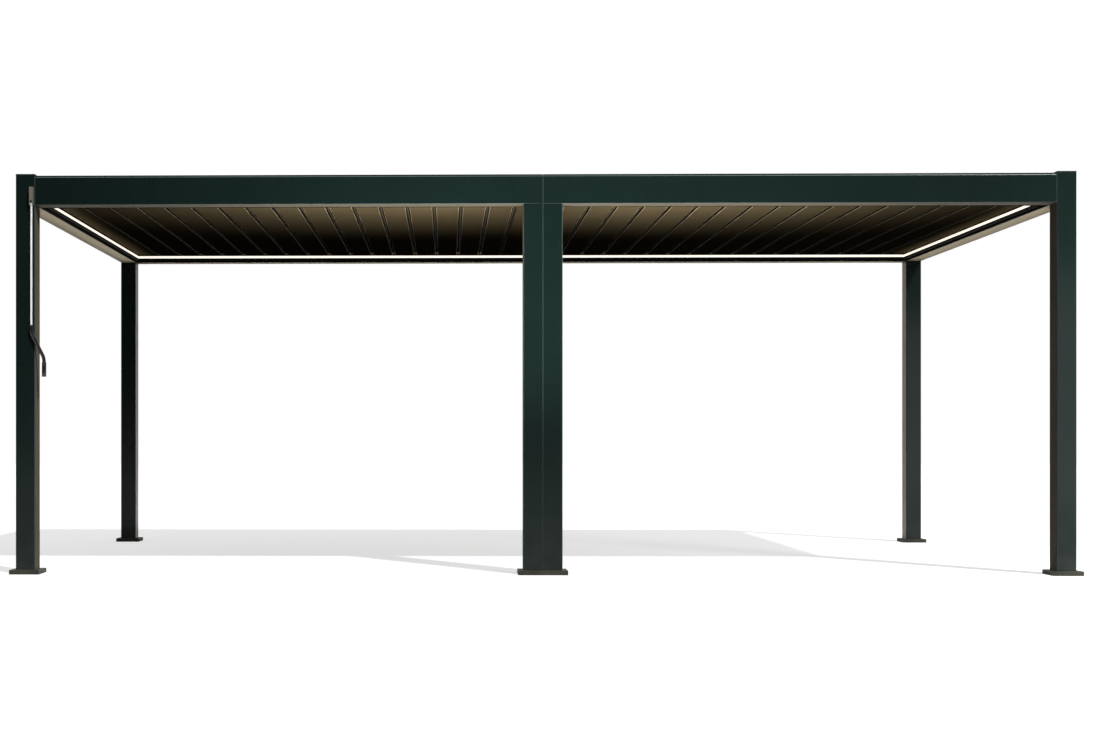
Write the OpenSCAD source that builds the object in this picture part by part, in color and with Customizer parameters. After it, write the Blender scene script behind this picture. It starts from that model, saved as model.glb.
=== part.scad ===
// Louvered pergola: an open frame of square posts and deep beams that carries two
// bays of tilting louvres, with light strips round the inside of the frame and a
// hand crank on the front left post.
// X is the width, Y runs from the front to the rear and Z is up, in millimetres.
// The origin is on the ground, in the middle of the footprint.

/* [Frame] */
// Width over the corner posts
frame_w = 6000; // [4800:50:6600]
// Depth over the corner posts
frame_d = 3000; // [2400:50:3600]
// Height from the ground to the top of the beams
frame_h = 2270; // [2000:10:2600]
// Side of the square posts, which is also the width of the beams
post_side = 110; // [100:5:130]
// Wall of the hollow posts and beams
profile_wall = 3; // [2:0.5:4]
// Height of the beams
beam_h = 168; // [150:2:200]
// Seam between the two front beams
beam_seam = 2; // [1:0.5:4]

/* [Posts] */
// Height of the cast foot under each post
foot_h = 25; // [15:1:35]
// How far a foot stands out past its post
foot_overhang = 30; // [28:1:45]
// Diameter of the anchor holes in the feet
anchor_hole_d = 12; // [9:0.5:13]
// Thickness of the caps on the corner posts
cap_t = 9; // [4:1:14]
// Depth of the plug that holds a cap in its post
cap_plug_depth = 15; // [10:1:30]
// Clearance round the plug of a cap
cap_clearance = 0.3; // [0.2:0.1:0.6]

/* [Louvres] */
// Least distance from one louvre's pivot to the next one's
least_pitch = 160; // [158:1:170]
// Width of the flat underside of a louvre
blade_w = 134; // [125:1:137]
// Thickness of a louvre
blade_t = 26; // [24:0.5:30]
// Wall of the hollow louvre
blade_wall = 2; // [1.5:0.1:2.5]
// How far a louvre's wing reaches over the next louvre
wing_overlap = 10; // [8:0.5:12]
// Thickness of the wing
wing_t = 3; // [2:0.5:4]
// Width of the drip rib under the wing
rib_w = 8; // [5:0.5:9]
// Depth of the drip rib under the wing
rib_depth = 15; // [10:1:16]
// Width of the low step on the edge that the next wing covers
step_w = 16; // [14:0.5:20]
// Thickness of the louvre at that step
step_t = 13; // [11:0.5:14]
// Height of the louvres' underside over the bottom of the beams
roof_rise = 48; // [44:1:52]
// Distance from the beam to the first louvre's own strip of roof
bay_margin = 30; // [28:1:40]

/* [Pivots] */
// Diameter of the pivot pins
pin_d = 12; // [8:0.5:14]
// Clearance round a pivot pin, all the way round
pin_clearance = 0.3; // [0.2:0.05:0.4]
// Thickness of the rails that the pins turn in
rail_t = 22; // [18:1:26]
// Height of these rails
rail_h = 40; // [30:1:50]
// How far a pin reaches into its rail
pin_depth = 18; // [12:1:18]
// Gap between a rail and the end of a louvre
end_gap = 13; // [12:0.5:16]

/* [Light] */
// Height of the light strips
light_h = 22; // [14:1:26]
// Thickness of the light strips
light_t = 6; // [3:0.5:7]
// Distance from the louvres' underside down to a light strip
light_drop = 3; // [2:0.5:8]

/* [Crank] */
// Distance from the inner side of the post to the crank's rod
crank_inset = 17; // [15:0.5:30]
// Distance from the front of the post to the rod's middle
crank_standoff = 13.5; // [12.5:0.5:15]
// Depth of the socket
socket_d = 26; // [24:0.5:28]
// Height of the socket's body
socket_h = 78; // [60:1:95]
// Distance from the top of the beam to the top of the socket
socket_drop = 68; // [50:1:80]
// Thickness of each cheek that holds the crank's pin
cheek_t = 4; // [3:0.5:5]
// Height of the cheeks
cheek_h = 26; // [24:0.5:32]
// Diameter of the crank's pin
crank_pin_d = 6; // [4:0.5:7]
// Diameter of the eye at the top of the rod
crank_eye_d = 16; // [13:0.5:18]
// Diameter of the rod, which is also the width of its eye
rod_d = 12; // [8:0.5:13]
// Height of the rod's lower end
rod_end_z = 1418; // [1200:1:1500]
// Diameter of the collar that joins the handle to the rod
collar_d = 16; // [15:0.5:17]
// Height of this collar
collar_h = 24; // [16:1:40]
// Diameter of the handle's slanted arm
handle_d = 14; // [10:0.5:14.5]
// How far the handle steps aside
handle_throw = 73; // [50:1:110]
// Height that the slanted arm takes up
handle_drop = 178; // [120:1:240]
// Length of the grip
grip_length = 112; // [80:1:140]
// Diameter of the grip
grip_d = 25; // [18:0.5:28]

/* [Hidden] */
$fn = 48;
piece_gap = 0.5;
corner_x = (frame_w - post_side) / 2;
corner_y = (frame_d - post_side) / 2;
inner_x = frame_w / 2 - post_side;
inner_y = frame_d / 2 - post_side;
beam_z = frame_h - beam_h;
roof_z = beam_z + roof_rise;
centre_w = 2 * post_side;
foot_side = post_side + 2 * foot_overhang;
bay_w = inner_x - centre_w / 2;
roofed_w = bay_w - 2 * bay_margin;
louvre_count = floor(roofed_w / least_pitch);
louvre_pitch = roofed_w / louvre_count;
blade_gap = louvre_pitch - blade_w;
wing_reach = blade_gap + wing_overlap;
blade_length = 2 * (inner_y - rail_t - end_gap);
pivot_z = roof_z + blade_t / 2;
pin_length = end_gap + pin_depth;
rod_x = -inner_x - crank_inset;
rod_y = -frame_d / 2 - crank_standoff;
socket_z = frame_h - socket_drop - socket_h;
socket_w = rod_d + 2 * (pin_clearance + cheek_t);
crank_pivot_z = socket_z - cheek_h + crank_eye_d / 2 + 2;
arm_top_z = rod_end_z - collar_h / 2;
grip_top_z = arm_top_z - handle_drop + handle_d / 2;
join = 1;
louvres = [for (i = [1 : louvre_count]) i];

green = [0.06, 0.09, 0.08];
bronze = [0.30, 0.27, 0.20];
warm_white = [1.0, 0.93, 0.78];
bright_metal = [0.80, 0.81, 0.82];
black = [0.03, 0.03, 0.03];

function louvre_name(side, i) = str(side, "_louvre_", i < 10 ? "0" : "", i);
function louvre_x(bay_start, i) = bay_start + bay_margin + (i - 0.5) * louvre_pitch;

// A block given by its low corner and its high corner
module block(low, high) {
    translate(low) cube(high - low);
}

// A hollow profile that stands upright on its centre
module upright_tube(w, d, h) {
    linear_extrude(h)
        difference() {
            square([w, d], center = true);
            square([w - 2 * profile_wall, d - 2 * profile_wall], center = true);
        }
}

// A hollow beam along X, from its low corner
module tube_along_x(length, w, h) {
    translate([0, w / 2, h / 2])
        rotate([90, 0, 90])
            upright_tube(w, h, length);
}

// A hollow beam along Y, from its low corner
module tube_along_y(length, w, h) {
    translate([w / 2, length, h / 2])
        rotate([90, 0, 0])
            upright_tube(w, h, length);
}

module corner_post(side_x, side_y) {
    color(green)
        translate([side_x * corner_x, side_y * corner_y, foot_h])
            upright_tube(post_side, post_side, frame_h - foot_h);
}

// Two posts side by side carry the ends of the front beams
module middle_posts() {
    slim = post_side - piece_gap / 2;
    color(green)
        for (side = [-1, 1])
            translate([side * (piece_gap + slim) / 2, -corner_y, foot_h])
                upright_tube(slim, post_side, beam_z - foot_h);
}

// A foot is a plate as wide as its posts, with an anchor hole in each corner
module foot(posts_w) {
    w = posts_w + 2 * foot_overhang;
    hole_x = (w - foot_overhang) / 2;
    hole_y = (foot_side - foot_overhang) / 2;
    difference() {
        translate([-w / 2, -foot_side / 2, 0]) cube([w, foot_side, foot_h]);
        for (x = [-hole_x, hole_x], y = [-hole_y, hole_y])
            translate([x, y, -join]) cylinder(h = foot_h + 2 * join, d = anchor_hole_d);
    }
}

module post_feet() {
    color(green) {
        for (x = [-corner_x, corner_x], y = [-corner_y, corner_y])
            translate([x, y, 0]) foot(post_side);
        translate([0, -corner_y, 0]) foot(2 * post_side);
    }
}

// A cap lies on a post and plugs into its hollow
module post_cap() {
    plug = post_side - 2 * profile_wall - 2 * cap_clearance;
    translate([-post_side / 2, -post_side / 2, 0]) cube([post_side, post_side, cap_t]);
    translate([-plug / 2, -plug / 2, -cap_plug_depth]) cube([plug, plug, cap_plug_depth + join]);
}

module post_caps() {
    color(green)
        for (x = [-corner_x, corner_x], y = [-corner_y, corner_y])
            translate([x, y, frame_h]) post_cap();
}

// The two front beams meet over the middle posts
module front_beam(start_x) {
    color(green)
        translate([start_x, -frame_d / 2, beam_z])
            tube_along_x(inner_x - beam_seam / 2, post_side, beam_h);
}

module rear_beam() {
    color(green)
        translate([-inner_x, inner_y, beam_z])
            tube_along_x(2 * inner_x, post_side, beam_h);
}

module side_beam(start_x) {
    color(green)
        translate([start_x, -inner_y, beam_z])
            tube_along_y(2 * inner_y, post_side, beam_h);
}

// The centre beam parts the two bays, level with the underside of the louvres
module centre_beam() {
    color(bronze)
        translate([-centre_w / 2, -inner_y, roof_z])
            tube_along_y(2 * inner_y, centre_w, frame_h - roof_z);
}

// Channels round the inside of the frame carry the light strips
module light_channels() {
    side_end = inner_y - rail_t - piece_gap;
    color(bronze) {
        for (y = [-inner_y, inner_y - rail_t])
            block([-inner_x, y, beam_z], [inner_x, y + rail_t, roof_z]);
        for (x = [-inner_x, inner_x - rail_t])
            block([x, -side_end, beam_z], [x + rail_t, side_end, roof_z]);
    }
}

// A ledge on the beam beside the first louvre, with a wing over that louvre's step
module first_flashing_outline() {
    ledge_w = bay_margin - blade_gap / 2;
    wing_z = blade_t - wing_t;
    square([ledge_w, blade_t]);
    translate([0, wing_z]) square([ledge_w + wing_reach, wing_t]);
    translate([bay_margin - rib_w / 2, wing_z - rib_depth]) square([rib_w, rib_depth + join]);
}

// A low ledge on the beam under the wing of the last louvre
module last_flashing_outline() {
    ledge_w = bay_margin - blade_gap / 2;
    translate([bay_w - ledge_w, 0]) square([ledge_w, step_t]);
}

module roof_flashings() {
    end = inner_y - rail_t - piece_gap;
    color(bronze)
        for (bay_start = [-inner_x, centre_w / 2])
            translate([bay_start, end, roof_z])
                rotate([90, 0, 0])
                    linear_extrude(2 * end) {
                        first_flashing_outline();
                        last_flashing_outline();
                    }
}

module light_strips() {
    face_x = inner_x - rail_t;
    face_y = inner_y - rail_t;
    top_z = roof_z - light_drop;
    side_end = face_y - light_t - piece_gap;
    color(warm_white) {
        for (y = [-face_y, face_y - light_t])
            block([-face_x, y, top_z - light_h], [face_x, y + light_t, top_z]);
        for (x = [-face_x, face_x - light_t])
            block([x, -side_end, top_z - light_h], [x + light_t, side_end, top_z]);
    }
}

// Two rails, one at each end of a bay's louvres, with a hole for each pivot pin
module pivot_rails(bay_start) {
    color(bronze)
        difference() {
            for (y = [-inner_y, inner_y - rail_t])
                block([bay_start, y, roof_z], [bay_start + bay_w, y + rail_t, roof_z + rail_h]);
            for (i = louvres, y = [-inner_y, inner_y - rail_t])
                translate([louvre_x(bay_start, i), y - join, pivot_z])
                    rotate([-90, 0, 0])
                        cylinder(h = rail_t + 2 * join, d = pin_d + 2 * pin_clearance);
        }
}

// Outline of a louvre seen from the front, with X over the pivot and Y from the underside up
module louvre_outline() {
    edge = blade_w / 2;
    wing_z = blade_t - wing_t;
    polygon([
        [-edge, 0],
        [edge, 0],
        [edge, wing_z],
        [edge + wing_reach, wing_z],
        [edge + wing_reach, blade_t],
        [-edge + step_w, blade_t],
        [-edge + step_w, step_t],
        [-edge, step_t]
    ]);
}

// The hollow leaves an even wall, with the solid step beside it
module louvre_hollow() {
    edge = blade_w / 2 - blade_wall;
    translate([-edge + step_w, blade_wall])
        square([2 * edge - step_w, blade_t - 2 * blade_wall]);
}

// The drip rib hangs from the wing, in the middle of the gap
module louvre_rib() {
    translate([(louvre_pitch - rib_w) / 2, blade_t - wing_t - rib_depth])
        square([rib_w, rib_depth + join]);
}

// A louvre closed by a plate at each end, with a pivot pin on each plate
module louvre(bay_start, i) {
    half = blade_length / 2;
    color(bronze)
        translate([louvre_x(bay_start, i), 0, roof_z])
            rotate([90, 0, 0]) {
                difference() {
                    translate([0, 0, -half])
                        linear_extrude(blade_length) {
                            louvre_outline();
                            louvre_rib();
                        }
                    translate([0, 0, blade_wall - half])
                        linear_extrude(blade_length - 2 * blade_wall)
                            louvre_hollow();
                }
                for (z = [half - join, -half - pin_length])
                    translate([0, blade_t / 2, z])
                        cylinder(h = pin_length + join, d = pin_d);
            }
}

// The socket stands on the front of the post, with two cheeks and a pin for the crank
module crank_socket() {
    front = -frame_d / 2;
    cheek_z = socket_z - cheek_h;
    color(bronze) {
        block([rod_x - socket_w / 2, front - socket_d, socket_z],
              [rod_x + socket_w / 2, front, socket_z + socket_h]);
        for (x = [rod_x - socket_w / 2, rod_x + socket_w / 2 - cheek_t])
            block([x, front - socket_d, cheek_z], [x + cheek_t, front, socket_z + join]);
        translate([rod_x - socket_w / 2 + join, rod_y, crank_pivot_z])
            rotate([0, 90, 0])
                cylinder(h = socket_w - 2 * join, d = crank_pin_d);
    }
}

// The rod hangs from the socket's pin by the eye at its top
module crank_rod() {
    color(bright_metal)
        difference() {
            union() {
                translate([rod_x - rod_d / 2, rod_y, crank_pivot_z])
                    rotate([0, 90, 0])
                        cylinder(h = rod_d, d = crank_eye_d);
                translate([rod_x, rod_y, rod_end_z])
                    cylinder(h = crank_pivot_z - rod_end_z, d = rod_d);
            }
            translate([rod_x - socket_w / 2, rod_y, crank_pivot_z])
                rotate([0, 90, 0])
                    cylinder(h = socket_w, d = crank_pin_d + 2 * pin_clearance);
        }
}

// The handle takes the rod's end in a collar, slants aside and ends in an upright grip
module crank_handle() {
    arm_length = norm([handle_throw, handle_drop]);
    arm_slant = atan2(handle_throw, handle_drop);
    color(black)
        translate([rod_x, rod_y, 0]) {
            translate([0, 0, rod_end_z - collar_h])
                cylinder(h = collar_h, d = collar_d);
            translate([0, 0, arm_top_z])
                rotate([0, 180 - arm_slant, 0])
                    cylinder(h = arm_length, d = handle_d);
            translate([handle_throw, 0, grip_top_z - grip_length])
                cylinder(h = grip_length, d = grip_d);
        }
}

corner_post(-1, -1);  // front_left_post
corner_post(1, -1);  // front_right_post
corner_post(-1, 1);  // rear_left_post
corner_post(1, 1);  // rear_right_post
middle_posts();
post_feet();
post_caps();
front_beam(-inner_x);  // front_left_beam
front_beam(beam_seam / 2);  // front_right_beam
rear_beam();
side_beam(-frame_w / 2);  // left_side_beam
side_beam(inner_x);  // right_side_beam
centre_beam();
light_channels();
light_strips();
roof_flashings();
pivot_rails(-inner_x);  // left_pivot_rails
pivot_rails(centre_w / 2);  // right_pivot_rails
crank_socket();
crank_rod();
crank_handle();
for (i = louvres) {
    louvre(-inner_x, i);
    louvre(centre_w / 2, i);
}
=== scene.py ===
# %% [markdown]
# # A louvered garden pergola in a pale studio
# The real object is an aluminium frame: square posts, deep beams, two bays of louvres
# that tilt together, light strips round the inside and a hand crank on the left.
# The solids come in with their exact sizes and joints, and this script dresses them:
# it rounds their edges, adds the thin trim that the profiles carry, coats every
# surface and lights the whole. Lengths are in metres, X is the width, Y runs from the
# front to the rear and Z is up.

# %% Load the frame
import math

import bmesh
import bpy
from mathutils import Matrix, Vector


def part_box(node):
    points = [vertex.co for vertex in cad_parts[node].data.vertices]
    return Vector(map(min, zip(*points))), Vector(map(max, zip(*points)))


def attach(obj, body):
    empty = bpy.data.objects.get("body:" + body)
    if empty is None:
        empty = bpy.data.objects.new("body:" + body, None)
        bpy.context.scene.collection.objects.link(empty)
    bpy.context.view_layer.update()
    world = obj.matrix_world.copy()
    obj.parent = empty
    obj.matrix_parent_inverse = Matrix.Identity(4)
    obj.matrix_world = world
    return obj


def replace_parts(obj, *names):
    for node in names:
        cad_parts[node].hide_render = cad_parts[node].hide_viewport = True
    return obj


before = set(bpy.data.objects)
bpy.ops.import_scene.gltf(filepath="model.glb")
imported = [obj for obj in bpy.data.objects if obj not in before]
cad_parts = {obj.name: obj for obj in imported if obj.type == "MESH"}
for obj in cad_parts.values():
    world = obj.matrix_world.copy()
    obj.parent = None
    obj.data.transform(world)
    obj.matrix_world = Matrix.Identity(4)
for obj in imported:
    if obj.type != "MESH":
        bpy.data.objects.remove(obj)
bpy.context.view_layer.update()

# %% [markdown]
# ## Names of the solids
# The solids keep the names that they were given when they were drawn. Lists of those
# names let one loop dress all the pieces of a kind.

# %% Names of the nodes
LOUVRE_COUNT = 17
SIDES = ("left", "right")
CORNER_POSTS = ("front_left_post", "front_right_post", "rear_left_post", "rear_right_post")
BEAMS = ("front_left_beam", "front_right_beam", "rear_beam", "left_side_beam", "right_side_beam")
LOUVRES = [f"{side}_louvre_{i:02d}" for side in SIDES for i in range(1, LOUVRE_COUNT + 1)]
print(len(LOUVRES), "louvres")

# %% [markdown]
# ## Writing shaders as sums
# A material in Blender is a graph of nodes. Wiring it by hand hides the idea behind
# the wires, so one small class wraps a socket. Its operators add Math nodes, and its
# `node` method adds any other node, takes the settings first and then the inputs.

# %% A socket that can be added, scaled and mixed
class Value:
    def __init__(self, tree, socket):
        self.tree = tree
        self.socket = socket

    def math(self, operation, other):
        return self.node("ShaderNodeMath", {"operation": operation}, {0: self, 1: other})

    def __add__(self, other):
        return self.math("ADD", other)

    def __radd__(self, other):
        return self.math("ADD", other)

    def __mul__(self, other):
        return self.math("MULTIPLY", other)

    def __rmul__(self, other):
        return self.math("MULTIPLY", other)

    def __sub__(self, other):
        return self.math("SUBTRACT", other)

    def __rsub__(self, other):
        return self.node("ShaderNodeMath", {"operation": "SUBTRACT"}, {0: other, 1: self})

    def node(self, kind, settings, inputs, output=0):
        return add_node(self.tree, kind, settings, inputs, output)

    def clamped(self, low, high):
        ends = {"From Min": low, "From Max": high, "To Min": 0.0, "To Max": 1.0}
        return self.node("ShaderNodeMapRange", {"clamp": True}, {"Value": self, **ends})

    def tint(self, low_colour, high_colour):
        inputs = {0: self, 6: (*low_colour, 1.0), 7: (*high_colour, 1.0)}
        return self.node("ShaderNodeMix", {"data_type": "RGBA"}, inputs, 2)


def add_node(tree, kind, settings, inputs, output=0):
    node = tree.nodes.new(kind)
    for name, value in settings.items():
        setattr(node, name, value)
    for name, value in inputs.items():
        if isinstance(value, Value):
            tree.links.new(value.socket, node.inputs[name])
        else:
            node.inputs[name].default_value = value
    return Value(tree, node.outputs[output])


def mix_colours(factor, first, second):
    inputs = {0: factor, 6: first, 7: (*second, 1.0)}
    return factor.node("ShaderNodeMix", {"data_type": "RGBA"}, inputs, 2)


# %% [markdown]
# ## A bare material
# Every finish starts from the Principled shader. Numbers that stay the same all over
# are set on the shader itself, and only what changes over the surface is wired in.

# %% Start a material
def bare_material(name, **fixed):
    material = bpy.data.materials.new(name)
    material.use_nodes = True
    tree = material.node_tree
    shader = tree.nodes["Principled BSDF"]
    for socket, value in fixed.items():
        shader.inputs[socket.replace("_", " ")].default_value = value
    place = add_node(tree, "ShaderNodeTexCoord", {}, {}, "Object")
    return material, tree, shader, place


def wire(tree, shader, **varying):
    for socket, value in varying.items():
        tree.links.new(value.socket, shader.inputs[socket.replace("_", " ")])


def noise(place, scale, detail=3.0, roughness=0.5):
    inputs = {"Vector": place, "Scale": scale, "Detail": detail, "Roughness": roughness}
    return place.node("ShaderNodeTexNoise", {}, inputs, "Fac")


def stretched(place, x, y, z):
    return place.node("ShaderNodeVectorMath", {"operation": "MULTIPLY"}, {0: place, 1: (x, y, z)})


def height_of(place):
    return place.node("ShaderNodeSeparateXYZ", {}, {"Vector": place}, "Z")


def bump(place, height, strength, distance):
    inputs = {"Height": height, "Strength": strength, "Distance": distance}
    return place.node("ShaderNodeBump", {}, inputs, "Normal")


# %% [markdown]
# ## Powder coat
# Powder coat is paint baked on as dust. Close up it has a fine orange peel and a few
# pinpricks, from a step away it looks even and satin, and out of doors it takes a
# little pale dust near the foot. The peel is a bump, the rest is slow noise in the
# colour and in the roughness.

# %% Powder coat in any colour
PEEL_SCALE = 900.0
PEEL_DEPTH = 0.0004
CLOUD_SCALE = 2.3
STREAK_STRETCH = (40.0, 40.0, 1.5)
FLECK_SHARE = 0.03
CLEAR_ROUGHNESS = 0.15
DUST_SCALE = 9.0
DUST_HEIGHT = 0.35
DUST_COLOUR = (0.16, 0.15, 0.12)


def powder_coat(name, deep, pale, gloss_low, gloss_high, shine, dust=0.10, clear=0.0,
                sheen_tint=(1.0, 1.0, 1.0)):
    material, tree, shader, place = bare_material(
        name, Specular_IOR_Level=shine, Specular_Tint=(*sheen_tint, 1.0),
        Coat_Weight=clear, Coat_Roughness=CLEAR_ROUGHNESS)
    clouds = noise(place, CLOUD_SCALE, 5.0, 0.6)
    streaks = noise(stretched(place, *STREAK_STRETCH), 1.0, 3.0)
    peel = noise(place, PEEL_SCALE, 2.0)
    fleck = noise(place, PEEL_SCALE / 3, 1.0).clamped(0.66, 0.72)
    colour = (clouds * 0.7 + streaks * 0.3).clamped(0.25, 0.75).tint(deep, pale)
    low_down = 1.0 - height_of(place).clamped(0.0, DUST_HEIGHT)
    patches = noise(place, DUST_SCALE, 6.0).clamped(0.35, 0.8)
    film = low_down * patches * dust + fleck * FLECK_SHARE
    rough = clouds.clamped(0.2, 0.8) * (gloss_high - gloss_low) + gloss_low + film * 0.5
    wire(tree, shader, Base_Color=mix_colours(film, colour, DUST_COLOUR), Roughness=rough,
         Normal=bump(place, peel + fleck * 0.4, 0.35, PEEL_DEPTH))
    return material


green_coat = powder_coat("dark green powder coat", (0.0036, 0.0090, 0.0078),
                         (0.0050, 0.0120, 0.0104), 0.30, 0.40, 0.04, clear=0.24)
# Painted highlight: a much paler green for the faces of the rounded edges.
green_painted_edge_highlight = powder_coat("green coat painted pale as edge highlight", (0.034, 0.050, 0.054),
                         (0.046, 0.064, 0.068), 0.30, 0.40, 0.30, 0.0)
bronze_coat = powder_coat("bronze powder coat", (0.092, 0.078, 0.050),
                          (0.118, 0.102, 0.068), 0.50, 0.62, 0.03)
louvre_coat = powder_coat("bronze louvre coat", (0.085, 0.063, 0.033),
                          (0.105, 0.080, 0.044), 0.60, 0.75, 0.0, 0.0)
# Painted highlight: a pale bronze for the rounded lower edges of the louvres.
louvre_painted_edge_highlight = powder_coat("bronze louvre coat painted pale as edge highlight", (0.460, 0.370, 0.220),
                          (0.520, 0.425, 0.260), 0.45, 0.55, 0.0, 0.0)
# Painted light: a paler copy of the bronze for the covers of the rear posts.
rear_cover_painted_light = powder_coat("bronze cover coat painted pale as light", (0.290, 0.240, 0.155),
                        (0.340, 0.285, 0.190), 0.38, 0.48, 0.35, 0.0,
                        sheen_tint=(1.0, 0.90, 0.72))
# Painted light: a paler copy of the bronze for the faces under and inside the side and rear beams.
beam_underside_painted_light = powder_coat("bronze under the beams painted pale as light", (0.300, 0.250, 0.160),
                        (0.350, 0.295, 0.195), 0.55, 0.68, 0.08, 0.0)
# Painted shade: a darker copy of the bronze for the faces under and inside the front beams.
front_underside_painted_shade = powder_coat("bronze under the front beams darkened as painted shade", (0.050, 0.042, 0.026),
                         (0.064, 0.054, 0.035), 0.55, 0.68, 0.05, 0.0)
# Painted shade: a near-black bronze for the channels beside the light strips.
channel_painted_shade = powder_coat("bronze of the light channels darkened as painted shade", (0.012, 0.010, 0.007),
                           (0.018, 0.015, 0.011), 0.60, 0.72, 0.0, 0.0)
foot_coat = powder_coat("olive foot coat", (0.018, 0.019, 0.014),
                        (0.028, 0.028, 0.021), 0.45, 0.62, 0.22, 0.25)
print("powder coats made")

# %% [markdown]
# ## Light strip, rod, handle and seals
# The strip is a milky cover over a row of small lamps, so its light is brighter over
# each lamp. The rod is plated and drawn, with fine lines along it. The handle is a
# glossy moulding, and the seals under the strips are dull black rubber.

# %% The other finishes
LAMP_SPACING = 0.016
STRIP_GLOW = 1.15
BETWEEN_LAMPS = (1.0, 0.90, 0.76)
OVER_A_LAMP = (1.0, 0.95, 0.86)


def lit_diffuser(name):
    material, tree, shader, place = bare_material(name, Roughness=0.5, Emission_Strength=STRIP_GLOW)
    turns = 2.0 * math.pi / LAMP_SPACING
    along = place.node("ShaderNodeSeparateXYZ", {}, {"Vector": place}, "X")
    across = place.node("ShaderNodeSeparateXYZ", {}, {"Vector": place}, "Y")
    lamps = place.node("ShaderNodeMath", {"operation": "SINE"}, {0: (along + across) * turns})
    glow = (lamps * 0.5 + 0.5).tint(BETWEEN_LAMPS, OVER_A_LAMP)
    wire(tree, shader, Base_Color=glow, Emission_Color=glow)
    return material


def plated_steel(name):
    material, tree, shader, place = bare_material(name, Metallic=0.85)
    lines = noise(stretched(place, 900.0, 900.0, 6.0), 1.0, 2.0)
    spots = noise(place, 60.0, 4.0)
    colour = spots.clamped(0.3, 0.7).tint((0.55, 0.55, 0.54), (0.64, 0.64, 0.63))
    wire(tree, shader, Base_Color=colour, Roughness=lines * 0.12 + 0.10,
         Normal=bump(place, lines, 0.15, 0.0002))
    return material


def moulded_black(name, low, high, shine):
    material, tree, shader, place = bare_material(name, Specular_IOR_Level=shine)
    grain = noise(place, 1400.0, 2.0)
    wear = noise(place, 35.0, 5.0).clamped(0.3, 0.7)
    colour = wear.tint((0.006, 0.006, 0.006), (0.014, 0.014, 0.013))
    wire(tree, shader, Base_Color=colour, Roughness=wear * (high - low) + low,
         Normal=bump(place, grain, 0.25, 0.0003))
    return material


light_cover = lit_diffuser("warm white light cover")
bright_plate = plated_steel("bright plated steel")
handle_black = moulded_black("glossy black handle", 0.12, 0.22, 0.5)
# The black rubber also serves as painted shade on the sides of the louvre gaps and below the light
# strips.
black_seal_and_painted_shade = moulded_black("dull black seal and painted shade", 0.7, 0.9, 0.1)
socket_coat = powder_coat("khaki grey casting", (0.13, 0.115, 0.085),
                          (0.18, 0.16, 0.12), 0.35, 0.5, 0.3, 0.0)
print("other finishes made")

# %% [markdown]
# ## Rounding the profiles
# An extruded bar never has a knife edge: its corners are rounded by a few millimetres,
# and each corner shows as a thin line of light. The solids have sharp edges, so each
# is copied, its loose triangles are joined and merged into whole faces, and the edges
# are bevelled. The narrow faces that the bevel adds lean away from the axes. They get
# the third material of the piece, EDGE_SLOT, which on the green coat is a much paler
# green, a painted highlight, so that the line shows from afar. The copy then stands
# for the solid.

# %% Round a copy of a node
EDGE_SLOT = 2
SAME_PLACE = 1e-5
NEAR = 1e-4
FLAT = 0.97
FACING = 0.9
LONG_EDGE = 1.0
FLAT_ANGLE = math.radians(1.0)


def finish_piece(mesh_builder, name, body, slot_name, *materials):
    bmesh.ops.recalc_face_normals(mesh_builder, faces=mesh_builder.faces)
    mesh = bpy.data.meshes.new(name)
    mesh_builder.to_mesh(mesh)
    mesh_builder.free()
    for material in materials:
        mesh.materials.append(material)
    piece = bpy.data.objects.new(name, mesh)
    bpy.context.scene.collection.objects.link(piece)
    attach(piece, body)
    return piece


def whole_faces(node):
    builder = bmesh.new()
    builder.from_mesh(bpy.data.objects[node].data)
    bmesh.ops.remove_doubles(builder, verts=builder.verts, dist=SAME_PLACE)
    bmesh.ops.dissolve_limit(builder, angle_limit=FLAT_ANGLE,
                             verts=builder.verts, edges=builder.edges)
    return builder


def corner_edges(builder, least_angle=40.0):
    return [e for e in builder.edges
            if len(e.link_faces) == 2 and e.calc_face_angle() > math.radians(least_angle)]


def round_edges(builder, edges, radius, segments):
    bmesh.ops.bevel(builder, geom=edges, offset=radius, offset_type="OFFSET", affect="EDGES",
                    segments=segments, profile=0.5, material=-1, clamp_overlap=True)


# Puts the slanted bevel faces on EDGE_SLOT, whose coat on the green pieces is the painted edge
# highlight.
def paint_edge_highlights(builder):
    for face in builder.faces:
        if max(abs(k) for k in face.normal) < FLAT:
            face.material_index = EDGE_SLOT


def coat_the_copy(builder, node, material, slot_name, body):
    edge = green_painted_edge_highlight if material is green_coat else material
    paint_edge_highlights(builder)
    piece = finish_piece(builder, f"{node}_finished", body, slot_name, material, material, edge)
    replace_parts(piece, node)
    return piece


def rounded_node(node, radius, segments, material, slot_name, body="frame"):
    builder = whole_faces(node)
    round_edges(builder, corner_edges(builder), radius, segments)
    return coat_the_copy(builder, node, material, slot_name, body)


def long_outer_edges(builder):
    low = [min(v.co[k] for v in builder.verts) for k in range(3)]
    high = [max(v.co[k] for v in builder.verts) for k in range(3)]
    reach = max(high[k] - low[k] for k in range(3))

    def outside(point):
        near = [min(point[k] - low[k], high[k] - point[k]) < NEAR for k in range(3)]
        return sum(near) >= 2

    return [e for e in corner_edges(builder) if e.calc_length() > reach / 2
            and outside((e.verts[0].co + e.verts[1].co) / 2)]


def rounded_profile(node, radius, segments, material, slot_name, body="frame"):
    builder = whole_faces(node)
    round_edges(builder, long_outer_edges(builder), radius, segments)
    return coat_the_copy(builder, node, material, slot_name, body)


def rounded_bar(name, low, high, radius, segments, material, slot_name, body="frame"):
    low, high = Vector(low), Vector(high)
    builder = bmesh.new()
    size = Matrix.Diagonal((high - low).to_4d())
    bmesh.ops.create_cube(builder, size=1.0, matrix=Matrix.Translation((low + high) / 2) @ size)
    round_edges(builder, list(builder.edges), radius, segments)
    return finish_piece(builder, name, body, slot_name, material)


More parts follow.
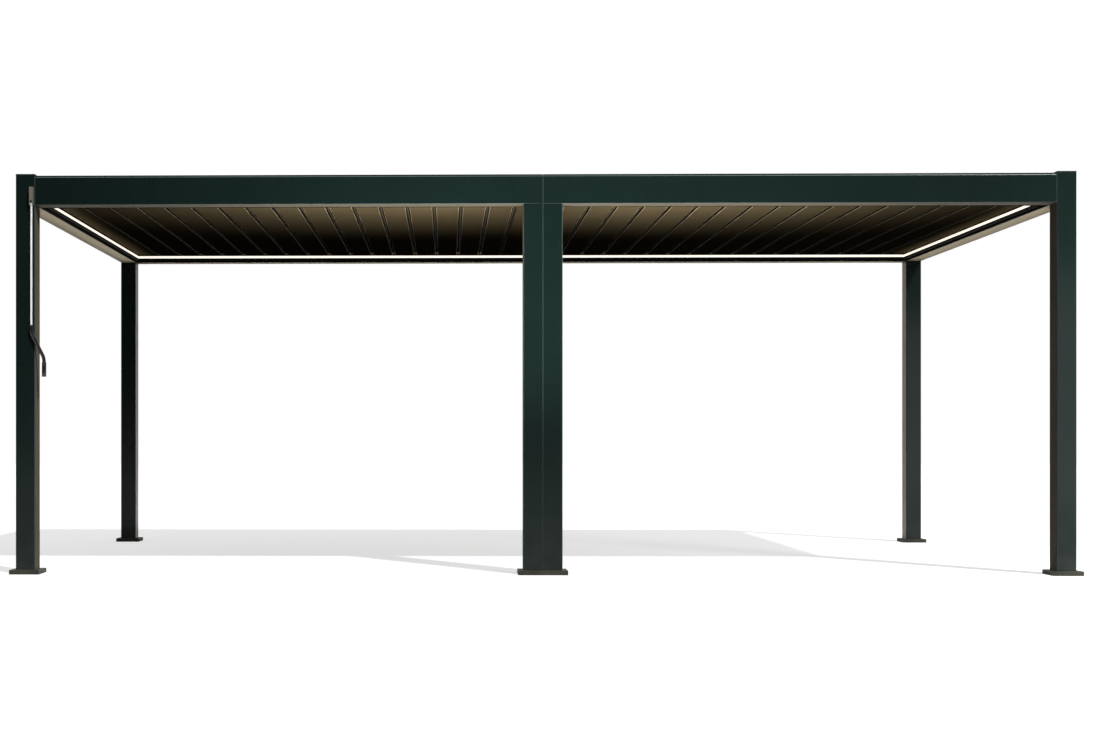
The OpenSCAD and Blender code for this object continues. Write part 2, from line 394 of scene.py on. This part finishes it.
# %% [markdown]
# ## Corner posts and their cover strips
# A post is an extruded square tube. Its corners are rounded by 4 mm. The side that
# faces a bay is closed by a clip-in cover in bronze, which stands a hair proud and
# leaves a fine groove at each edge. The covers of the rear posts have a paler copy of
# the bronze than the front ones, as painted light.

# %% Posts
POST_RADIUS = 0.004
COVER_PROUD = 0.0012
COVER_BURIED = 0.001
COVER_MARGIN = 0.006
COVER_RADIUS = 0.0008
beam_low, beam_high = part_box("front_left_beam")
for node in CORNER_POSTS:
    rounded_profile(node, POST_RADIUS, 4, green_coat, "green_coat")
print("posts rounded by", POST_RADIUS)


# %% Cover strips on the sides that face the bays
def cover_strip(name, face_x, outward, y_low, y_high, z_low, z_high):
    x_ends = sorted((face_x - outward * COVER_BURIED, face_x + outward * COVER_PROUD))
    # Painted light: the rear covers get the paler copy of the bronze.
    coat = rear_cover_painted_light if y_low > 0 else bronze_coat
    rounded_bar(name, (x_ends[0], y_low + COVER_MARGIN, z_low),
                (x_ends[1], y_high - COVER_MARGIN, z_high), COVER_RADIUS, 2, coat, "bronze_coat")


foot_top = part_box("post_feet")[1].z
for node in CORNER_POSTS:
    low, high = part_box(node)
    outward = -1 if low.x > 0 else 1
    face_x = low.x if low.x > 0 else high.x
    cover_strip(f"{node}_cover", face_x, outward, low.y, high.y, foot_top, beam_low.z)
print("covers reach from", foot_top, "to", beam_low.z)

# %% [markdown]
# ## The double post in the middle
# Two slimmer tubes stand side by side and carry the ends of both front beams. Each
# is rounded like the corner posts, so a dark seam runs down between them.

# %% Middle posts
middle_low, middle_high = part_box("middle_posts")
middle = whole_faces("middle_posts")
uprights = [e for e in corner_edges(middle) if e.calc_length() > LONG_EDGE
            and min(abs(e.verts[0].co.y - middle_low.y), abs(e.verts[0].co.y - middle_high.y)) < NEAR]
round_edges(middle, uprights, POST_RADIUS, 4)
paint_edge_highlights(middle)
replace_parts(finish_piece(middle, "middle_posts_finished", "frame", "green_coat",
                         green_coat, green_coat, green_painted_edge_highlight), "middle_posts")
for side, outward, face_x in (("left", -1, middle_low.x), ("right", 1, middle_high.x)):
    cover_strip(f"middle_cover_{side}", face_x, outward, middle_low.y, middle_high.y,
                foot_top, beam_low.z)
print(len(uprights), "edges of the middle posts rounded")

# %% [markdown]
# ## Beams
# The beams are deep extrusions. A narrow lip along the top of the outer face steps
# back, and the rounded edge under it, which carries the painted edge highlight, draws a
# line of light along the whole roof. The outer faces are green, while the sides that
# look into the bays and the undersides are bronze, painted paler as light on the side
# and rear beams. The undersides of the front beams lie in shade and are painted darker.

# %% Beams
LIP_HEIGHT = 0.009
LIP_DEPTH = 0.008
CUT = 0.002
TOP_RADIUS = 0.0055
LOW_RADIUS = 0.004
END_RADIUS = 0.003


def cut_level(builder, z):
    everything = list(builder.verts) + list(builder.edges) + list(builder.faces)
    bmesh.ops.bisect_plane(builder, geom=everything, plane_co=(0, 0, z), plane_no=(0, 0, 1))


def step_back_lip(builder, inward, top_z):
    cut_level(builder, top_z - LIP_HEIGHT)
    cut_level(builder, top_z - LIP_HEIGHT + CUT)
    outer = min(v.co.dot(inward) for v in builder.verts)
    lip = [v for v in builder.verts if v.co.dot(inward) - outer < NEAR
           and v.co.z > top_z - LIP_HEIGHT + CUT / 2]
    bmesh.ops.translate(builder, verts=lip, vec=inward * LIP_DEPTH)


def edges_at_height(builder, z):
    return [e for e in corner_edges(builder, 30.0) if e.calc_length() > LONG_EDGE
            and all(abs(v.co.z - z) < SAME_PLACE for v in e.verts)]


def edges_at_ends(builder, along):
    reach = [v.co.dot(along) for v in builder.verts]
    ends = (min(reach), max(reach))
    return [e for e in corner_edges(builder)
            if any(all(abs(v.co.dot(along) - end) < SAME_PLACE for v in e.verts) for end in ends)]


for node in BEAMS:
    low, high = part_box(node)
    centre = (low + high) / 2
    inward = Vector((0, -math.copysign(1, centre.y), 0))
    along = Vector((1, 0, 0))
    if high.y - low.y > high.x - low.x:
        inward = Vector((-math.copysign(1, centre.x), 0, 0))
        along = Vector((0, 1, 0))
    builder = bmesh.new()
    size = Matrix.Diagonal((high - low).to_4d())
    bmesh.ops.create_cube(builder, size=1.0, matrix=Matrix.Translation(centre) @ size)
    step_back_lip(builder, inward, high.z)
    for face in builder.faces:
        face.material_index = int(face.normal.dot(inward) > FACING or face.normal.z < -FACING)
    round_edges(builder, edges_at_height(builder, high.z - LIP_HEIGHT), TOP_RADIUS, 5)
    round_edges(builder, edges_at_height(builder, low.z), LOW_RADIUS, 4)
    round_edges(builder, edges_at_ends(builder, along), END_RADIUS, 2)
    paint_edge_highlights(builder)
    # Painted shade under the front beams, painted light under the others.
    underside = front_underside_painted_shade if node.startswith("front") else beam_underside_painted_light
    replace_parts(finish_piece(builder, f"{node}_finished", "frame", "green_coat",
                             green_coat, underside, green_painted_edge_highlight), node)
print(len(BEAMS), "beams with a lip of", LIP_HEIGHT)

# %% [markdown]
# ## The joint down the middle
# The two front beams and the two middle posts meet in one straight joint. A narrow
# black joint strip lies at the bottom of the groove between their rounded edges.

# %% Joint strip
JOINT_HALF_W = 0.0013
JOINT_SETBACK = 0.0006
JOINT_RADIUS = 0.0003
joint_x = (middle_low.x + middle_high.x) / 2
for name, front_y, z_low, z_high in (("beam_joint", beam_low.y, beam_low.z, beam_high.z - LIP_HEIGHT),
                                     ("post_joint", middle_low.y, foot_top, beam_low.z)):
    rounded_bar(name, (joint_x - JOINT_HALF_W, front_y + JOINT_SETBACK, z_low),
                (joint_x + JOINT_HALF_W, front_y + POST_RADIUS, z_high),
                JOINT_RADIUS, 1, black_seal_and_painted_shade, "black_handle")
print("joint strip at", joint_x)

# %% [markdown]
# ## Centre beam, flashings and light channels
# The centre beam parts the bays. Flashings close the roof beside it and beside the side
# beams, and channels round the inside of the frame carry the light strips. The
# channels are coated near black, painted shade for the dark recess beside the strips.
# The strips shine, but they cast no light on what is round them.

# %% Bronze parts of the roof
CENTRE_RADIUS = 0.003
CHANNEL_RADIUS = 0.002
STRIP_RADIUS = 0.0015
FLASHING_RADIUS = 0.0012
rounded_profile("centre_beam", CENTRE_RADIUS, 3, louvre_coat, "bronze_coat")
rounded_node("light_channels", CHANNEL_RADIUS, 2, channel_painted_shade, "bronze_coat")
strips = rounded_node("light_strips", STRIP_RADIUS, 2, light_cover, "light_diffuser")
strips.visible_diffuse = False
rounded_node("roof_flashings", FLASHING_RADIUS, 2, louvre_coat, "bronze_coat")
for side in SIDES:
    rails = bpy.data.objects[f"{side}_pivot_rails"]
    rails.data.materials.clear()
    rails.data.materials.append(louvre_coat)
print("centre beam, channels, strips, flashings and rails coated")

# %% [markdown]
# ## Black holders of the light strips
# The strip sits in a black rubber holder. It closes the channel below the strip and
# grips the lower edge of the cover, so that only the upper part of the cover shines.
# Its black band below the strip is partly painted shade, where the channel lies in shadow.

# %% Light holders
channel_low, channel_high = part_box("light_channels")
strip_low, strip_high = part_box("light_strips")
HOLDER_T = 0.0075
HOLDER_RADIUS = 0.0006
LIP_H = 0.010
GRIP_H = 0.005
holder_z = (channel_low.z + LIP_H, strip_low.z + GRIP_H)


def light_holder(name, low_x, high_x, low_y, high_y):
    rounded_bar(f"{name}_light_holder", (low_x, low_y, holder_z[0]), (high_x, high_y, holder_z[1]),
                HOLDER_RADIUS, 1, black_seal_and_painted_shade, "black_handle")


light_holder("front", strip_low.x, strip_high.x, strip_low.y, strip_low.y + HOLDER_T)
light_holder("rear", strip_low.x, strip_high.x, strip_high.y - HOLDER_T, strip_high.y)
light_holder("left", strip_low.x, strip_low.x + HOLDER_T,
             strip_low.y + HOLDER_T, strip_high.y - HOLDER_T)
light_holder("right", strip_high.x - HOLDER_T, strip_high.x,
             strip_low.y + HOLDER_T, strip_high.y - HOLDER_T)
print("holders from", holder_z[0], "to", holder_z[1])

# %% [markdown]
# ## Louvres
# Each louvre is a hollow blade with a wing that reaches over its neighbour and a rib
# that drips rain into the gap. Its lower long edges are rounded by 2.2 mm and have a
# much paler coat, a painted highlight, so they show as a fine line beside every gap.
# The sides of the blade and the underside of the wing are black, as painted shade: on
# a real roof they are bronze, and look black because no light gets into the gap.

# %% Louvres
LOUVRE_RADIUS = 0.0022
EDGE_BAND = 0.003
WING_T = 0.003
BLADE_FLAT = 0.995
PLAIN, EDGE, GAP = 0, 1, 2


def blade_part(face, low_z, high_z):
    middle_z = face.calc_center_median().z
    if max(abs(k) for k in face.normal) < BLADE_FLAT and middle_z < low_z + EDGE_BAND:
        return EDGE
    under_wing = face.normal.z < -FACING and middle_z > high_z - WING_T - CUT
    return GAP if abs(face.normal.x) > FACING or under_wing else PLAIN


for name in LOUVRES:
    blade = whole_faces(name)
    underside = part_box(name)[0].z
    low_edges = [e for e in corner_edges(blade) if e.calc_length() > LONG_EDGE
                 and all(abs(v.co.z - underside) < SAME_PLACE for v in e.verts)]
    round_edges(blade, low_edges, LOUVRE_RADIUS, 3)
    # Rounded edges get the painted highlight, the sides of the gap the black painted shade.
    for face in blade.faces:
        face.material_index = blade_part(face, underside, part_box(name)[1].z)
    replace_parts(finish_piece(blade, f"{name}_finished", name, "bronze_coat",
                             louvre_coat, louvre_painted_edge_highlight, black_seal_and_painted_shade), name)
print(len(LOUVRES), "louvres rounded by", LOUVRE_RADIUS)

# %% [markdown]
# ## Seals under the wings
# A rubber seal hangs under the tip of each wing. Closed louvres then let neither rain
# nor sky through, and the gaps look dark from below.

# %% Seals
SEAL_W = 0.004
SEAL_H = 0.004
SEAL_INSET = 0.002
SEAL_BURIED = 0.0005
SEAL_RADIUS = 0.0008
PIN_REACH = 0.031
for name in LOUVRES:
    low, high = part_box(name)
    tip = high.x - SEAL_INSET
    top = high.z - WING_T
    rounded_bar(f"{name}_seal", (tip - SEAL_W, low.y + PIN_REACH, top - SEAL_H),
                (tip, high.y - PIN_REACH, top + SEAL_BURIED), SEAL_RADIUS, 1, black_seal_and_painted_shade,
                "black_handle", name)
print(len(LOUVRES), "seals of", SEAL_W, "by", SEAL_H)

# %% [markdown]
# ## Feet and caps
# The feet are cast plates with holes for the anchors, and the caps close the posts.

# %% Feet and caps
FOOT_RADIUS = 0.003
CAP_RADIUS = 0.004
rounded_node("post_feet", FOOT_RADIUS, 3, foot_coat, "green_coat")
rounded_node("post_caps", CAP_RADIUS, 4, green_coat, "green_coat")
print("feet rounded by", FOOT_RADIUS, "and caps by", CAP_RADIUS)

# %% [markdown]
# ## Crank
# The socket at the top of the front left post holds the crank's eye between two
# cheeks. The rod is plated steel. The handle is a moulded tube, bent twice, and its
# straight end is the grip.

# %% Socket and rod
SOCKET_RADIUS = 0.0015
ROD_EDGE_RADIUS = 0.0006
rounded_node("crank_socket", SOCKET_RADIUS, 2, socket_coat, "socket_metal")
rounded_node("crank_rod", ROD_EDGE_RADIUS, 2, bright_plate, "bright_rod", "crank")
print("socket and rod rounded")


# %% Tools that draw a tube along its path
def ring(builder, centre, radius):
    made = bmesh.ops.create_circle(builder, radius=radius, segments=24,
                                   matrix=Matrix.Translation(centre))
    return list({e for v in made["verts"] for e in v.link_edges})


def push(builder, edges, direction, length):
    made = bmesh.ops.extrude_edge_only(builder, edges=edges)["geom"]
    verts = [g for g in made if isinstance(g, bmesh.types.BMVert)]
    bmesh.ops.translate(builder, verts=verts, vec=direction * length)
    return [g for g in made if isinstance(g, bmesh.types.BMEdge)
            and all(v in verts for v in g.verts)]


def turn(builder, edges, centre, angle, steps):
    verts = list({v for e in edges for v in e.verts})
    made = bmesh.ops.spin(builder, geom=verts + edges, cent=centre, axis=(0, 1, 0),
                          angle=angle, steps=steps)["geom_last"]
    return [g for g in made if isinstance(g, bmesh.types.BMEdge)]


def middle_of(edges):
    verts = list({v for e in edges for v in e.verts})
    return sum((v.co for v in verts), Vector()) / len(verts)


def swell(builder, edges, factor):
    verts = list({v for e in edges for v in e.verts})
    bmesh.ops.scale(builder, verts=verts, vec=(factor,) * 3,
                    space=Matrix.Translation(-middle_of(edges)))


# %% Handle, spun through its two bends
rod_low, rod_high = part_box("crank_rod")
handle_low, handle_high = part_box("crank_handle")
rod_x = (rod_low.x + rod_high.x) / 2
rod_y = (handle_low.y + handle_high.y) / 2
TUBE_RADIUS = 0.0100
GRIP_RADIUS = (handle_high.y - handle_low.y) / 2
BEND_RADIUS = 0.090
BEND_ANGLE = math.radians(27.0)
BEND_STEPS = 8
TOP_STRAIGHT = 0.024
SHOULDER = 0.004
RIM_RADIUS = 0.002
throw = handle_high.x - GRIP_RADIUS - rod_x
bend_throw = 2 * BEND_RADIUS * (1 - math.cos(BEND_ANGLE))
arm_length = (throw - bend_throw) / math.sin(BEND_ANGLE)
down = Vector((0, 0, -1))
slant = Vector((math.sin(BEND_ANGLE), 0, -math.cos(BEND_ANGLE)))

handle = bmesh.new()
edges = ring(handle, (rod_x, rod_y, handle_high.z), TUBE_RADIUS)
bmesh.ops.contextual_create(handle, geom=edges)
edges = push(handle, edges, down, TOP_STRAIGHT)
bend_centre = middle_of(edges) + Vector((BEND_RADIUS, 0, 0))
edges = turn(handle, edges, bend_centre, -BEND_ANGLE, BEND_STEPS)
edges = push(handle, edges, slant, arm_length)
side_of_bend = Vector((-math.cos(BEND_ANGLE), 0, -math.sin(BEND_ANGLE)))
bend_centre = middle_of(edges) + side_of_bend * BEND_RADIUS
edges = turn(handle, edges, bend_centre, BEND_ANGLE, BEND_STEPS)
edges = push(handle, edges, down, SHOULDER)
swell(handle, edges, GRIP_RADIUS / TUBE_RADIUS)
grip_length = middle_of(edges).z - handle_low.z
edges = push(handle, edges, down, grip_length)
bmesh.ops.contextual_create(handle, geom=edges)
round_edges(handle, corner_edges(handle, 60.0), RIM_RADIUS, 3)
for face in handle.faces:
    face.smooth = True
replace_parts(finish_piece(handle, "crank_handle_finished", "crank", "black_handle", handle_black),
            "crank_handle")
print("handle arm", arm_length, "grip", grip_length)

# %% [markdown]
# ## Floor
# The studio floor is plain and pale. It keeps the shadow of the roof and shades off
# to the white of the background.

# %% Floor
FLOOR_SIDE = 80.0
FLOOR_WHITE = 0.62
FLOOR_PALE = (0.93, 0.93, 0.92)
FLOOR_BOUNCE = (0.012, 0.012, 0.012)
floor_builder = bmesh.new()
bmesh.ops.create_grid(floor_builder, x_segments=1, y_segments=1, size=FLOOR_SIDE / 2)
floor_mesh = bpy.data.meshes.new("studio_floor")
floor_builder.to_mesh(floor_mesh)
floor_builder.free()
floor = bpy.data.objects.new("studio_floor", floor_mesh)
bpy.context.scene.collection.objects.link(floor)
floor_paint, floor_tree, floor_shader, _ = bare_material(
    "pale studio floor", Roughness=1.0, Specular_IOR_Level=0.0)
camera_sees = add_node(floor_tree, "ShaderNodeLightPath", {}, {}, "Is Camera Ray")
gloss_sees = add_node(floor_tree, "ShaderNodeLightPath", {}, {}, "Is Glossy Ray")
floor_tone = (camera_sees + gloss_sees).tint(FLOOR_BOUNCE, FLOOR_PALE)
wire(floor_tree, floor_shader, Base_Color=floor_tone)
white = floor_tree.nodes.new("ShaderNodeEmission")
blend = floor_tree.nodes.new("ShaderNodeMixShader")
floor_tree.links.new((camera_sees * FLOOR_WHITE).socket, blend.inputs["Fac"])
floor_tree.links.new(floor_shader.outputs["BSDF"], blend.inputs[1])
floor_tree.links.new(white.outputs["Emission"], blend.inputs[2])
floor_tree.links.new(blend.outputs["Shader"], floor_tree.nodes["Material Output"].inputs["Surface"])
floor_mesh.materials.append(floor_paint)
print("floor of", FLOOR_SIDE, "by", FLOOR_SIDE)

# %% [markdown]
# ## Light
# A sun far off to the front right is the key light and casts the shadow of the roof.
# A large soft box to the front right gives the coat its sheen. A small fill lights the
# right post, and a long low lamp in front of the roof lights the underside, which
# fades away from it. The fill and the low lamp are stronger than a plain light: the
# posts and beams next to them render two to three times as light as their coat is
# written.

# %% Key light and soft boxes
KEY_STRENGTH = 4.0
KEY_ANGLE = math.radians(1.5)
SOFT_BOX_POWER = 62.0
FILL_POWER = 48.0
FILL_SPREAD = math.radians(80.0)
ROOF_LAMP_POWER = 74.0
ROOF_LAMP_SPREAD = math.radians(76.0)
KEY_DIRECTION = Vector((-1.16, 1.54, -2.27))
key_data = bpy.data.lights.new("key", "SUN")
key_data.energy = KEY_STRENGTH
key_data.angle = KEY_ANGLE
key = bpy.data.objects.new("key", key_data)
key.rotation_euler = KEY_DIRECTION.to_track_quat("-Z", "Y").to_euler()
bpy.context.scene.collection.objects.link(key)


def soft_box(name, place, target, width, height, power):
    data = bpy.data.lights.new(name, "AREA")
    data.shape = "RECTANGLE"
    data.size = width
    data.size_y = height
    data.energy = power
    lamp = bpy.data.objects.new(name, data)
    lamp.location = place
    aim = Vector(target) - Vector(place)
    lamp.rotation_euler = aim.to_track_quat("-Z", "Y").to_euler()
    lamp.visible_camera = False
    bpy.context.scene.collection.objects.link(lamp)
    return lamp


soft_box("front right soft box", (6.0, -8.0, 1.2), (1.5, -1.5, 1.0), 4.0, 2.4, SOFT_BOX_POWER)
side_fill = soft_box("right fill", (4.6, -3.6, 3.4), (3.2, -1.3, 0.6), 0.5, 0.5, FILL_POWER)
side_fill.data.spread = FILL_SPREAD
side_fill.visible_glossy = False
roof_lamp = soft_box("low roof lamp", (0.0, -2.4, 0.15), (0.0, -1.8, 2.15), 3.4, 0.3,
                     ROOF_LAMP_POWER)
roof_lamp.data.spread = ROOF_LAMP_SPREAD
roof_lamp.visible_glossy = False
print("key light, soft box, fill and roof lamp placed")

# %% [markdown]
# ## Lamps under the side and rear beams
# The undersides of these beams catch light that is thrown back from below. Three long
# lamps near the floor point straight up in narrow beams and stand in for it.

# %% Lamps below the beams
BEAM_LAMP_POWER = 0.85
BEAM_LAMP_SPREAD = math.radians(7.0)
STRAIGHT_UP = (math.pi, 0.0, 0.0)
for name, place, width, height in (("left beam lamp", (beam_low.x, 0.0, 0.05), 0.12, 2.6),
                                   ("right beam lamp", (-beam_low.x, 0.0, 0.05), 0.12, 2.6),
                                   ("rear beam lamp", (0.0, -beam_low.y, 0.05), 5.6, 0.12)):
    low_lamp = soft_box(name, place, (place[0], place[1], 2.0), width, height,
                        BEAM_LAMP_POWER)
    low_lamp.rotation_euler = STRAIGHT_UP
    low_lamp.data.spread = BEAM_LAMP_SPREAD
    low_lamp.visible_glossy = False
print("beam lamps of", BEAM_LAMP_POWER, "W each")

# %% [markdown]
# ## Dome
# The world is a dome that is bright overhead and dim near the floor. The camera sees
# it as plain white, and glossy surfaces see a pale backdrop behind the object.

# %% Dome
DOME_LOW = 0.018
DOME_TOP = 0.80
DOME_RISE = (0.2, 0.9)
BACKDROP = 0.70
BACKDROP_EDGE = (-0.5, 0.1)
world = bpy.data.worlds.new("pale dome")
bpy.context.scene.world = world
world.use_nodes = True
dome = world.node_tree
background = dome.nodes["Background"]
camera_ray = add_node(dome, "ShaderNodeLightPath", {}, {}, "Is Camera Ray")
glossy_ray = add_node(dome, "ShaderNodeLightPath", {}, {}, "Is Glossy Ray")
direction = add_node(dome, "ShaderNodeTexCoord", {}, {}, "Generated")
upward = direction.node("ShaderNodeSeparateXYZ", {}, {"Vector": direction}, "Z")
backward = direction.node("ShaderNodeSeparateXYZ", {}, {"Vector": direction}, "Y")
overhead = upward.clamped(*DOME_RISE)
behind = backward.clamped(*BACKDROP_EDGE)
studio = overhead * DOME_TOP + DOME_LOW + glossy_ray * behind * BACKDROP
dome_strength = camera_ray + (1.0 - camera_ray) * studio
background.inputs["Color"].default_value = (1.0, 1.0, 1.0, 1.0)
dome.links.new(dome_strength.socket, background.inputs["Strength"])
print("dome from", DOME_LOW, "to", DOME_LOW + DOME_TOP)

# %% [markdown]
# ## Camera
# The camera stands low in front of the left bay and looks level, turned one degree
# to the left. Its lens is shifted up and to the right to hold the whole roof.

# %% Camera
FOCAL_LENGTH = 51.376
SENSOR_WIDTH = 36.0
SHIFT_RIGHT = 0.11848
SHIFT_UP = 0.06891
EYE = (-0.548, -10.383, 0.760)
TURNED_LEFT = math.radians(1.0)
camera_data = bpy.data.cameras.new("camera")
camera_data.lens = FOCAL_LENGTH
camera_data.sensor_width = SENSOR_WIDTH
camera_data.shift_x = SHIFT_RIGHT
camera_data.shift_y = SHIFT_UP
camera = bpy.data.objects.new("camera", camera_data)
camera.location = EYE
camera.rotation_euler = (math.radians(90.0), 0.0, TURNED_LEFT)
bpy.context.scene.collection.objects.link(camera)
bpy.context.scene.camera = camera
bpy.context.scene.view_settings.view_transform = "Standard"
print("camera at", EYE)
